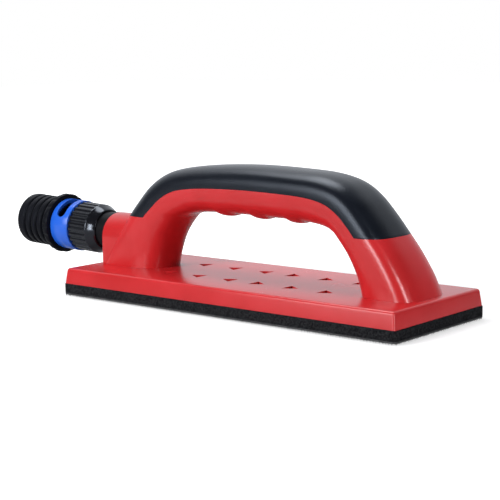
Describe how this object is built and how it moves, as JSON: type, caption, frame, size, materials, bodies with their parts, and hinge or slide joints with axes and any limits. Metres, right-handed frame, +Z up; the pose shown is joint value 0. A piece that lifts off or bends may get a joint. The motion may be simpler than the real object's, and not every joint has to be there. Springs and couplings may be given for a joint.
{
  "type": "hand sanding block",
  "caption": "Long flat hand sanding block with an arched two-tone grip, a hook-faced foam pad with dust holes and a turning ribbed hose connector with an air regulator ring.",
  "frame": {"origin": "centre of the sanding face, on the surface that the block stands on", "axes": "+Z up out of the pad, +X along the pad towards the nose, away from the hose connector"},
  "size_m": [0.2581, 0.07, 0.0665],
  "materials": {
    "red_body": "satin moulded",
    "grip_soft_touch": "soft touch, finely grained",
    "dark_plastic": "matte",
    "black_plastic": "semi gloss moulded",
    "blue_plastic": "semi gloss moulded",
    "cuff_rubber": "matte",
    "seal_rubber": "matte",
    "washer_plastic": "natural",
    "pad_foam": "closed-cell foam",
    "hook_fabric": "hook facing",
    "screw_steel": "zinc plated"
  },
  "bodies": {
    "housing": {"base_plate": "red_body", "backing_plate": "dark_plastic", "plenum_seal": "seal_rubber", "backing_screws": "screw_steel", "foam_pad": "pad_foam", "hook_facing": "hook_fabric", "handle_frame": "red_body", "grip_cover": "grip_soft_touch", "handle_screws": "screw_steel", "duct_gasket": "seal_rubber", "outlet_spigot": "black_plastic", "spigot_seal": "seal_rubber", "thrust_washer": "washer_plastic", "swivel_seal": "seal_rubber", "snap_ring": "screw_steel"},
    "connector": {"vent_tube": "black_plastic", "swivel_collar": "black_plastic", "stop_pin": "screw_steel", "ring_seals": "seal_rubber", "cuff_ferrule": "black_plastic", "hose_cuff": "cuff_rubber"},
    "regulator": {"regulator_ring": "blue_plastic"}
  },
  "joints": [
    {"name": "hose_swivel", "type": "hinge", "parent": "housing", "child": "connector", "pos_m": [-0.0947, 0, 0.02835], "axis": [-0.9991, 0, 0.0419], "continuous": true},
    {"name": "air_regulator", "type": "hinge", "parent": "connector", "child": "regulator", "pos_m": [-0.0947, 0, 0.02835], "axis": [-0.9991, 0, 0.0419], "range_deg": [0, 60]}
  ]
}
